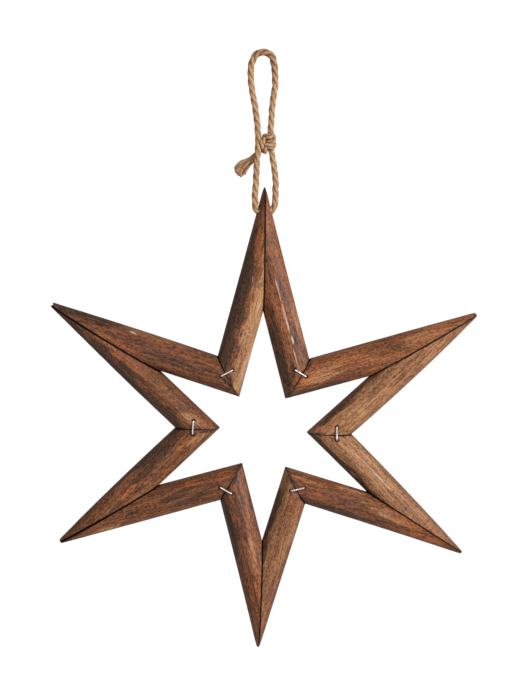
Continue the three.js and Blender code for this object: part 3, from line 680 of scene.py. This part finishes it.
# The second of these is pale rubbed wear, and a painted highlight where a pale mark lies along the ridge.
FLECK, PALE_WEAR_AND_HIGHLIGHT, PORE = (0.3168, 0.0941, 0.0243, 1), (0.5, 0.38, 0.32, 1), (0.016, 0.009, 0.006, 1)

# The staples that the holes are cut for, and each hole's clearance round its leg or the twine.
CROWN_WIDTH, WIRE, LEG_LENGTH = 13.5, 1.3, 10.0
LEG_CLEARANCE, BORE_CLEARANCE, CHANNEL_CLEARANCE = 0.3, 0.5, 0.35


def polar(reach, degrees):
    """A place in the star's plane, by its distance from the middle and its angle."""
    a = math.radians(degrees)
    return np.array([reach * math.cos(a), reach * math.sin(a)])


def quarter_turn(v):
    """A direction in the star's plane, turned to the left by a right angle."""
    return np.array([-v[1], v[0]])


def line_through(a, b):
    """A line as a place on it and its direction."""
    return a, unit(b - a)


def towards(line, place):
    """The unit vector square to a line that points to the side on which a place lies."""
    side = quarter_turn(line[1])
    return side if side @ (place - line[0]) > 0 else -side


def meet(a, b):
    """Where two lines cross, or many lines that start at the rows of a's first array: as far along a as
    the cross of the gap with b's direction is times the cross of both directions."""
    gap, along = b[0] - a[0], a[1]
    apart = along[..., 0] * b[1][1] - along[..., 1] * b[1][0]
    return a[0] + along * ((gap[..., 0] * b[1][1] - gap[..., 1] * b[1][0]) / apart)[..., None]


def stave_lines(k):
    """A stave's tip, notch, outer edge and inner edge in the star's own plane."""
    point, elbow, crotch, elbow_more = list(STAVES.values())[k][:4]
    angle, reach, lean, end = POINTS[point][:4]
    tip = polar(TIP_REACH + reach, angle + lean)
    notch = polar(NOTCH_REACH + ELBOWS[elbow][1], ELBOWS[elbow][0] + ELBOWS[elbow][2])
    outer = line_through(tip + polar(end / 2, angle + lean + (-90 if k % 2 else 90)), notch)
    across = towards(outer, np.zeros(2))
    share = STAVE_WIDTH * CROTCH_AT / np.linalg.norm(notch - tip)
    start = tip + (notch - tip) * share + across * (STAVE_WIDTH + crotch)
    return tip, notch, outer, line_through(start, notch + across * (STAVE_WIDTH + elbow_more))


lines = [stave_lines(k) for k in range(12)]


def seam_between(before, after):
    """The line from where two staves' outer edges cross to where their inner edges do."""
    (_, _, outer_a, inner_a), (_, _, outer_b, inner_b) = lines[before], lines[after]
    return line_through(meet(outer_a, outer_b), meet(inner_a, inner_b))


tip_seams = [seam_between(2 * i - 1, 2 * i) for i in range(6)]
elbow_seams = [seam_between(2 * i, 2 * i + 1) for i in range(6)]

# The section, once round: over the arch from the outer edge, down, back along the flat, and up again,
# as shares of the width, heights over the back, and millimetres round it.
sweep = np.linspace(0, math.pi, ARCH_COLUMNS + 1)
arch_share = (1 - np.cos(sweep)) / 2
arch_height = EDGE_HEIGHT + (STAVE_DEPTH - EDGE_HEIGHT) * np.sin(sweep)
section_share = np.concatenate([arch_share, [1, 1], arch_share[::-1], [0, 0]])
section_height = np.concatenate([arch_height, [1.8, 0.6], np.zeros(ARCH_COLUMNS + 1), [0.6, 1.8]])
FRONT = np.arange(len(section_share)) <= ARCH_COLUMNS
section_step = np.diff(27.0 * section_share, prepend=0), np.diff(section_height, prepend=EDGE_HEIGHT)
section_run = np.cumsum(np.hypot(*section_step))


def sawn_line(seam, gap, body):
    """A seam's line moved by half the saw's gap to the side of a body, and that move."""
    aside = towards(seam, body) * gap / 2
    return (seam[0] + aside, seam[1]), aside


def stave_surface(k):
    """A stave's points as a grid of rows along it by columns round its section, and for each point its
    share of its column's length and its distances along the outer edge, from the long mitre and from
    the elbow's. Every column is a straight ruling from one mitre to the other. Its two ends lean with
    the bevels in proportion to their height, and both mitres close towards the flat back. The outer
    edge bows as a parabola, and the worn end at the tip is rounded off or split."""
    point, elbow, _, _, bow = list(STAVES.values())[k][:5]
    _, reach, _, end, bevel, rounding, sprung = POINTS[point]
    tip, notch, outer, inner = lines[k]
    body = ((outer[0] + inner[0]) / 2 + notch) / 2
    tip_seam = tip_seams[(k + 1) // 2 % 6]
    tip_line, tip_gap = sawn_line(tip_seam, SEAM_GAP, body)
    elbow_line, elbow_gap = sawn_line(elbow_seams[k // 2], MITRE_GAP, body)
    apex, crotch = meet(outer, tip_line), meet(inner, tip_line)
    outer_notch, inner_elbow = meet(outer, elbow_line), meet(inner, elbow_line)
    axis = unit(tip)
    beside = quarter_turn(axis)
    worn = (apex @ axis - TIP_REACH - reach) / (apex @ axis - crotch @ axis)
    share, height = section_share[:, None], section_height[:, None]

    start = apex + (crotch - apex) * share
    finish = outer_notch + (inner_elbow - outer_notch) * share
    ruling = unit(finish - start)
    on_worn = meet((start, ruling), (tip, beside))
    opening = tip_gap / (SEAM_GAP / 2) * sprung
    opening = opening * np.interp(share, [0, 0.05, 0.3, 0.6, 1], [0.6, 1, 0.9, 0.25, 0.1])
    start = np.where(share < worn, on_worn, start + opening)
    full = np.linalg.norm(finish - start, axis=1)

    tip_along, elbow_along = unit(crotch - apex), unit(inner_elbow - outer_notch)
    tip_slope, elbow_slope = math.tan(math.radians(bevel)), math.tan(math.radians(ELBOWS[elbow][3]))
    closing = CLOSED_PAST * np.clip(1 - height / CLOSED_BELOW, 0, 1)
    on_mitre = np.minimum(1, share / worn)
    start = start + quarter_turn(tip_along) * tip_slope * height * on_mitre
    squarely = start - (tip_gap + opening) * closing * on_mitre
    onward = start + (meet((start, ruling), tip_seam) - start) * closing
    past = np.clip((share - worn) / 0.08, 0, 1)
    start = squarely * (1 - past) + onward * past
    finish = finish + quarter_turn(elbow_along) * elbow_slope * height - elbow_gap * closing

    near, far = END_ROWS[:, None] / full, 1 - END_ROWS[::-1, None] / full
    middle = np.linspace(0, 1, ROWS - 2 * len(END_ROWS) + 2)[1:-1, None]
    run = np.vstack([near, near[-1] + (far[0] - near[-1]) * middle, far])
    plan = start + (finish - start) * run[..., None]
    edge = np.linalg.norm(notch - outer[0])
    along = (plan - outer[0]) @ outer[1] / edge
    bowed = bow * np.maximum(0, 4 * along * (1 - along)) * (1 - section_share)
    bowed = bowed * np.minimum(1, run * full / 25)
    plan = plan - towards(outer, np.zeros(2)) * bowed[..., None]

    aside = np.abs((plan - tip) @ beside) / (end / 2)
    near_tip = np.clip(1 - np.linalg.norm(plan - tip, axis=-1) / 6, 0, 1) ** 2
    worn_back = rounding * aside ** 2 if rounding > 0 else -rounding * np.clip(1 - aside, 0, 1)
    plan = plan - axis * (np.clip(worn_back, 0, 2.2) * near_tip)[..., None]
    y = np.broadcast_to(BACK_Y - section_height, run.shape)
    points = np.stack([plan[..., 0], y, CENTRE_Z + plan[..., 1]], -1)
    across = quarter_turn(ruling[ARCH_COLUMNS])
    from_tip = run * full * abs(across @ tip_along)
    from_elbow = (1 - run) * full * abs(across @ elbow_along)
    return points, run, along * edge, from_tip, from_elbow


def outward_normals(points):
    """Unit normals of a stave's grid, crossed from its steps along and round, and turned so that they
    face the front on top of the arch."""
    n = np.cross(np.gradient(points, axis=0), np.roll(points, -1, 1) - np.roll(points, 1, 1))
    n /= np.maximum(np.linalg.norm(n, axis=-1, keepdims=True), 1e-9)
    return -n if n[ROWS // 2, ARCH_COLUMNS // 2, 1] > 0 else n


def stave_faces(rows, columns, mirrored):
    """Quads over a stave's grid. Each sawn end is closed by quads between the arch and the flat, and by
    one at each of its edges. Every other stave is mirrored, so its faces run the other way round."""
    over = np.arange(ARCH_COLUMNS)
    under = 2 * ARCH_COLUMNS + 3 - over
    end = np.stack([over, over + 1, under - 1, under], -1).tolist()
    end += [list(range(ARCH_COLUMNS, ARCH_COLUMNS + 4)), [columns - 3, columns - 2, columns - 1, 0]]
    last = (rows - 1) * columns
    faces = grid_faces(rows, columns).tolist()
    faces += [face[::-1] for face in end] + [[last + c for c in face] for face in end]
    return [face[::-1] for face in faces] if mirrored else faces


def stave_marks(k, run, length):
    """The masks of a stave's stains and marks. Each mark is an oval with a soft, ragged edge that is
    drawn out along the grain; of two marks of one kind, the stronger counts. Painted shade darkens the
    steep sides of the arch by both edges, less near the tip and where the wood is tan; it joins the
    char mask."""
    stain, marks = list(STAVES.values())[k][5:]
    masks = dict(zip(("char", "tan", "ember", "plum"), stain), pale=0, hole=0, knot=0)
    across = np.broadcast_to(section_share, run.shape)
    ragged = bumps(across * 9 + 3, length * 0.07 + 9 * k, 40 + k)
    for kind, places in marks.items():
        edge = 0.12 if kind in ("hole", "knot") else 0.4
        for at, share, half_run, half_share, strength in places:
            oval = np.hypot((run - at) / half_run, (across + 0.1 * (run - at) - share) / half_share)
            level = eased(np.clip((1.3 - oval - edge * ragged) / 0.9, 0, 1)) * strength * FRONT
            masks[kind] = np.maximum(masks[kind], level)
    # Painted shade on the steep sides of the arch, where the round surface turns from the light.
    edge_shade = np.clip(0.6 - 3.4 * np.minimum(across, 1 - across), 0, 1) * FRONT
    edge_shade = edge_shade * np.clip(0.3 + length / 70, 0, 1) * (1 - 0.75 * np.clip(masks["tan"], 0, 1))
    masks["char"] = np.maximum(masks["char"], edge_shade)
    return {key: np.broadcast_to(value, run.shape) for key, value in masks.items()}


def stave_relief(k, length, masks, from_tip, from_elbow):
    """How far the surface stands proud of the plain section, in millimetres: slow swells, flutes and
    fibre ridges along the grain, pits where worms went in, and the worn arrises of both sawn ends,
    each a quarter round of a radius that varies with the chips."""
    front = np.where(FRONT, np.sin(np.pi * np.clip(section_share, 0.004, 0.996)) ** 0.5, 0.15)
    slow = 0.22 * bumps(section_run * 0.07 + 5, length * 0.022 + k, 10 + k, 2)
    flutes = 0.16 * bumps(section_run * 0.42, length * 0.02 + 3 * k, 60 + k)
    ridges = 0.07 * bumps(section_run * 1.9, length * 0.05 + 5 * k, 80 + k)
    burnt = masks["char"] * (0.5 + 0.5 * bumps(section_run * 0.9, length * 0.12, 30 + k))
    pits = -0.9 * masks["hole"] - 0.25 * burnt
    relief = front * (slow + flutes + ridges) + FRONT * pits + 0.3 * masks["knot"]
    wear = (from_tip, 2.5, 0.2, 0.3, 0.8), (from_elbow, 3.5, 0.3, 1.5, 1)
    for distance, row, least, more, deep in wear:
        chips = bumps(section_share * 7 + k, np.full_like(section_share, row), 90 + k)
        radius = least + more * np.clip(chips, 0, 1) ** 2
        left = np.clip(1 - distance / radius, 0, 1)
        relief = relief - radius * (1 - np.sqrt(1 - left ** 2)) * deep
    return relief


def unwaxed(k, from_tip, from_elbow):
    """Where sawn or split wood shows without the wax, 0 to 1: at the rims of both sawn ends, chipped at
    the elbow, on the low edges, and all over the back."""
    tip_rim = np.clip(1 - from_tip / 0.7, 0, 1) * np.clip(0.2 + 8 * section_share, 0, 1)
    chips = bumps(section_share * 15 + 5 * k, np.full_like(section_share, 4.5), 120 + k, 2)
    elbow_rim = np.clip(1 - from_elbow / (1.0 + 2.2 * np.clip(chips, -0.35, 1)), 0, 1) ** 0.5
    low = np.clip(1 - section_height / 2.2, 0, 1) * 0.75
    return np.maximum(np.maximum(tip_rim, elbow_rim) * 0.9, np.maximum(low, np.where(FRONT, 0, 0.45)))


def wood():
    """Brown-stained split branch. Dark and light fibres run along it; char, tan, ember and plum are its
    stains, and the char mask also holds painted shade on the arch's sides; short pores and fine cracks
    are darker, the holes' mask also holds the staples' painted shadows, pale marks are rubbed wear and
    painted highlights along the ridge, and a thin wax dulls where the grain is open."""
    m, shader, s = material("stained_wood", Specular_IOR_Level=0.22, Coat_Roughness=0.35)
    grain = s.node("Attribute", attribute_name="grain", out=1)
    char, tan, ember = s.node("Attribute", attribute_name="stains", out=1).node_parts()
    plum, pale, hole = s.node("Attribute", attribute_name="marks", out=1).node_parts()
    sawn = s.node("Attribute", attribute_name="sawn", out=2)
    cloud = grain.stretched(0.12, 0.02, 1).noise(1, 0.5)
    fibre = grain.stretched(0.42, 0.016, 1).noise(4, 0.65, 0.1)
    fine = grain.stretched(0.95, 0.075, 1.4).noise(2, 0.7)
    grit = grain.stretched(1.0, 0.38, 2.3).noise(2, 0.6)
    pore = grain.stretched(1.0, 0.3, 1).noise(2, 0.7).step(0.6, 0.7)
    crack = (grain.stretched(0.4, 0.01, 1).noise(2, 0.4, 0.1) - 0.5).math("ABSOLUTE").step(0.008, 0.0)
    fleck = grain.stretched(0.8, 0.14, 1.3).noise(3, 0.7).step(0.55, 0.7)
    light = (fibre * 0.24 + fine * 0.3 + grit * 0.46).step(0.43, 0.57)
    ragged = (cloud * 0.8 + fibre * 0.25 + fine * 0.25 - 0.65) * 0.85
    # The holes' mask darkens worm holes, knots and the painted shadows beside the staples.
    dark = (pore * 0.6).math("MAXIMUM", crack * 0.7).math("MAXIMUM", hole.step(0.25, 0.8))

    tone = light.mix(*BROWN)
    tone = (tan + ragged).step(0.25, 0.95).mix(tone, light.mix(*TAN))
    tone = (ember + ragged).step(0.3, 1.0).mix(tone, light.mix(*EMBER))
    tone = (fleck * 0.18).mix(tone, FLECK)
    tone = ((plum + ragged).step(0.3, 1.0) * 0.85).mix(tone, light.mix(*PLUM))
    tone = (char + ragged).step(0.3, 0.85).mix(tone, light.mix(*CHAR))
    # Pale marks: rubbed wear, and painted highlights along the ridge.
    tone = ((pale + ragged).step(0.35, 0.9) * 0.75).mix(tone, PALE_WEAR_AND_HIGHLIGHT)
    tone = (dark * 0.85).mix(tone, PORE)
    tone = sawn.mix(tone, light.mix(*SAWN))
    rough = light * 0.12 + 0.42 + dark * 0.25 + sawn * 0.2
    height = fibre * 0.4 + fine * 0.5 + grit * 0.5 - dark * 0.35
    rise = s.node("Bump", {"Height": height, "Strength": 0.8, "Distance": 0.0009})
    feed(shader, Base_Color=tone, Roughness=rough, Normal=rise, Coat_Weight=pale.step(0.2, 0.9) * 0.6)
    return m


def hole_cutter(line, radius, sides):
    """A closed round bar along a line, for cutting: a ring of points square to the line at each of its
    own. Its faces are turned outwards by the sign of the volume that they enclose."""
    _, u, v = carried_frames(line)
    around = np.arange(sides) * 2 * math.pi / sides
    points = (line[:, None] + radius * circled(around, u[:, None], v[:, None])).reshape(-1, 3)
    mesh = bpy.data.meshes.new("hole_cutter")
    mesh.from_pydata((points * MM).tolist(), [], tube_faces(len(line), sides))
    mesh.attributes.new("sawn", "FLOAT", "POINT").data.foreach_set("value", np.full(len(points), 0.9))
    cutter = bpy.data.objects.new("hole_cutter", mesh)
    bpy.context.collection.objects.link(cutter)
    if sum(p.center.dot(p.normal) * p.area for p in mesh.polygons) < 0:
        mesh.flip_normals()
    return cutter


def cut(piece, cutters):
    """The piece's mesh with the cutters taken away from it."""
    for cutter in cutters:
        trim = piece.modifiers.new("cut", "BOOLEAN")
        trim.operation, trim.solver, trim.object = "DIFFERENCE", "MANIFOLD", cutter
    done = bpy.data.meshes.new_from_object(piece.evaluated_get(bpy.context.evaluated_depsgraph_get()))
    piece.modifiers.clear()
    old, piece.data = piece.data, done
    bpy.data.meshes.remove(old)


def discard(cutters):
    """The cutters taken out of the scene again."""
    for cutter in cutters:
        bpy.data.meshes.remove(cutter.data)


def staple_place(i):
    """The middle of a staple's crown in the star's plane, and its direction."""
    _, _, outer_a, inner_a = lines[2 * i]
    _, _, outer_b, inner_b = lines[2 * i + 1]
    share, turn = list(ELBOWS.values())[i][4:]
    notch, inside = meet(outer_a, outer_b), meet(inner_a, inner_b)
    along = elbow_seams[i][1]
    angle = math.atan2(along[1], along[0]) + math.pi / 2 + math.radians(turn)
    return notch + (inside - notch) * share, np.array([math.cos(angle), math.sin(angle)])


def staple_dent_and_shadow(k, points):
    """How far the wood is dented beside the staple and darkened there by its painted shadow: from the
    distance to its crown's line, and more so round its legs."""
    middle, along = staple_place(k // 2)
    away = np.stack([points[..., 0], points[..., 2] - CENTRE_Z], -1) - middle
    half = (CROWN_WIDTH - WIRE) / 2
    beside = np.abs(away @ along)
    off = np.abs(away @ quarter_turn(along))
    crown = 0.5 * np.clip((1.7 - np.hypot(off, np.clip(beside - half, 0, None))) / 0.7, 0, 1)
    leg = np.clip((1.9 - np.hypot(off, beside - half)) / 0.8, 0, 1)
    return np.maximum(crown, leg) * FRONT


def leg_cutters(k):
    """Two bars into a stave from its front, one for each leg of the staple at its elbow."""
    middle, along = staple_place(k // 2)
    front = BACK_Y - STAVE_DEPTH
    cutters = []
    for side in (-1, 1):
        x, z = middle + along * side * (CROWN_WIDTH - WIRE) / 2
        bar = np.array([(x, y, CENTRE_Z + z) for y in np.linspace(front - 6, front + 9.6, 4)])
        cutters.append(hole_cutter(bar, WIRE / math.sqrt(2) + LEG_CLEARANCE, 14))
    return cutters


bore_line = np.array([(x, 0, BORE_Z) for x in np.linspace(-40, 40, 9)])
bore_cutters = [hole_cutter(bore_line, TWINE / 2 + BORE_CLEARANCE, 28),
                hole_cutter(loop_line[::6], TWINE / 2 + CHANNEL_CLEARANCE, 20)]
wood_finish = wood()
for k, name in enumerate(STAVES):
    points, run, length, from_tip, from_elbow = stave_surface(k)
    masks = stave_marks(k, run, length)
    # The staple's painted shadow and dent join the holes' mask, which both sinks and darkens the wood.
    masks["hole"] = np.maximum(masks["hole"], staple_dent_and_shadow(k, points))
    relief = stave_relief(k, length, masks, from_tip, from_elbow)
    points = points + outward_normals(points) * relief[..., None]
    fields = {
        "grain": np.stack([section_run + 0.02 * length, length, np.full_like(run, 13.7 * k)], -1),
        "stains": np.stack([masks["char"], masks["tan"], masks["ember"]], -1),
        "marks": np.stack([masks["plum"], masks["pale"], np.maximum(masks["hole"], masks["knot"])], -1),
        "sawn": unwaxed(k, from_tip, from_elbow),
    }
    faces = stave_faces(*run.shape, mirrored=k % 2)
    piece = mesh_piece(name + "_wood", points, faces, wood_finish, name, fields)
    cutters = leg_cutters(k)
    cut(piece, cutters + (bore_cutters if STAVES[name][0] == "top" else []))
    discard(cutters)
discard(bore_cutters)


# The staples
# Six bright wire staples, one driven across each elbow's mitre. The crown lies on the wood and its two
# legs go down into their own small holes. Each crown sags by its own amount, in the elbows' order.
BEND, CROWN_STANDOFF = 1.25, 0.3
SAGS = (0.1, 0.05, 0.25, 0.15, 0.1, 0.2)
WIRE_BRIGHT, WIRE_DULL, WIRE_SHADED = (0.8, 0.8, 0.82, 1), (0.66, 0.65, 0.65, 1), (0.16, 0.15, 0.15, 1)


def bent_wire(middle, along, sag, sides=12):
    """Square wire with rounded corners, carried down one leg, over the crown and up the other. Its
    section is a superellipse of power 3.5, its bends are quarter circles, the crown sags by the square
    of a cosine, and both ends taper."""
    half, crown = (CROWN_WIDTH - WIRE) / 2, WIRE / 2
    turn = np.linspace(0, math.pi / 2, 12)
    corner = np.stack([half - BEND + BEND * np.sin(turn), crown - BEND + BEND * np.cos(turn)], -1)
    flat = np.stack([np.linspace(-half + BEND, half - BEND, 22)[1:-1], np.full(20, crown)], -1)
    flat[:, 1] -= sag * np.cos(flat[:, 0] / (half - BEND) * math.pi / 2) ** 2
    leg = np.stack([np.full(10, half), np.linspace(crown - BEND, 0.7 - LEG_LENGTH, 12)[1:-1]], -1)
    right = np.vstack([corner, leg])
    path = np.vstack([right[::-1] * (-1, 1), flat, right])
    ahead = unit(np.gradient(path, axis=0))
    normal = np.stack([-ahead[:, 1], ahead[:, 0]], -1)
    around = (np.arange(sides) + 0.5) * 2 * math.pi / sides
    round_square = (np.abs(np.cos(around)) ** 3.5 + np.abs(np.sin(around)) ** 3.5) ** (-1 / 3.5)
    taper = np.interp(np.arange(len(path)), [0, 3, len(path) - 4, len(path) - 1], [0.25, 1, 1, 0.25])
    radius = WIRE / 2 * 0.97 * round_square[None, :] * taper[:, None]
    up = path[:, 1, None] + normal[:, 1, None] * radius * np.cos(around)
    side = path[:, 0, None] + normal[:, 0, None] * radius * np.cos(around)
    aside = radius * np.sin(around)
    plan = middle + side[..., None] * along + aside[..., None] * quarter_turn(along)
    y = BACK_Y - STAVE_DEPTH - CROWN_STANDOFF - up
    points = np.stack([plan[..., 0], y, CENTRE_Z + plan[..., 1]], -1).reshape(-1, 3)
    # Painted shade, and a duller finish, at the bends and down the legs.
    dull = np.clip((np.abs(side) - half + 1.1) / 0.6, 0, 1)
    return points, tube_faces(len(path), sides), dull


def bright_wire():
    """Galvanised wire, bright but finely scratched along, with duller spots, and painted shade at its
    bends and legs.
    """
    m, shader, s = material("staple_wire", Metallic=1.0)
    place = s.node("TexCoord", out=3)
    scratch = place.stretched(1800, 1800, 1800).noise(4, 0.7)
    dull = place.stretched(420, 420, 420).noise().step(0.45, 0.7)
    bend = s.node("Attribute", attribute_name="bend", out=2)
    tone = (bend * 0.8).mix(dull.mix(WIRE_BRIGHT, WIRE_DULL), WIRE_SHADED)
    rise = s.node("Bump", {"Height": scratch, "Strength": 0.25, "Distance": 0.0001})
    feed(shader, Base_Color=tone, Roughness=dull * 0.06 + bend * 0.25 + 0.24, Normal=rise)
    return m


wire_finish = bright_wire()
for elbow, place, sag in zip(ELBOWS, map(staple_place, range(6)), SAGS):
    points, faces, dull = bent_wire(*place, sag)
    a, b, c = (points[[face[i] for face in faces]] for i in range(3))
    if np.sum(np.cross(b - a, c - a) * a) < 0:
        faces = [face[::-1] for face in faces]
    name = "staple_" + elbow
    mesh_piece(name + "_wire", points, faces, wire_finish, name, {"bend": dull})


# The floor
# A pale plane far under the star, out of the picture. It isn't part of the star.
FLOOR_HALF, FLOOR_Z = 1.2, -0.75
corners = [(x * FLOOR_HALF, y * FLOOR_HALF, FLOOR_Z) for x, y in ((-1, -1), (1, -1), (1, 1), (-1, 1))]
floor_mesh = bpy.data.meshes.new("floor")
floor_mesh.from_pydata(corners, [], [(0, 1, 2, 3)])
floor = bpy.data.objects.new("floor", floor_mesh)
bpy.context.collection.objects.link(floor)
floor_finish, shader, s = material("pale_floor", Roughness=0.7)
mottle = s.node("TexCoord", out=3).stretched(9, 9, 9).noise()
feed(shader, Base_Color=mottle.mix((0.78, 0.78, 0.78, 1), (0.86, 0.86, 0.86, 1)))
floor_mesh.materials.append(floor_finish)
